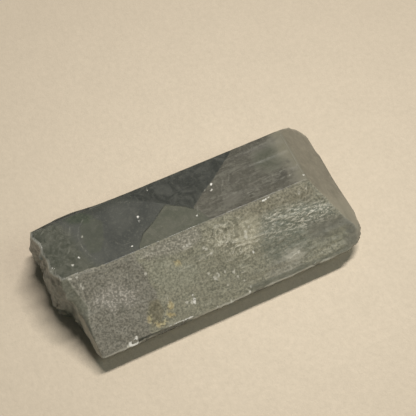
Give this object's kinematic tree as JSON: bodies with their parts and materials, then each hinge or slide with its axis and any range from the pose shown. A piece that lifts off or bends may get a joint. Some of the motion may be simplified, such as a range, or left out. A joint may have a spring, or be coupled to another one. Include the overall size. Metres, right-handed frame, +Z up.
{
  "type": "barite crystal",
  "caption": "Loose prismatic barite crystal, smoky grey-green and translucent, with a glassy top, a frosted sloping front face, a bevelled end and a broken end.",
  "frame": {"origin": "centre of the footprint box, on the flat face that the crystal rests on", "axes": "+X along the prism (the crystal's b axis) towards the finished end, +Y to the back away from the frosted face (a axis), +Z up through the flat top face (c axis)"},
  "size_m": [0.0626, 0.0294, 0.0156],
  "materials": {
    "barite": "vitreous translucent smoky grey-green barite, refractive index 1.64; clear glassy top, finely etched frosted front face, dull rough broken end, traces of ochre iron stain"
  },
  "bodies": {
    "root": {"barite_crystal": "barite"}
  },
  "joints": []
}
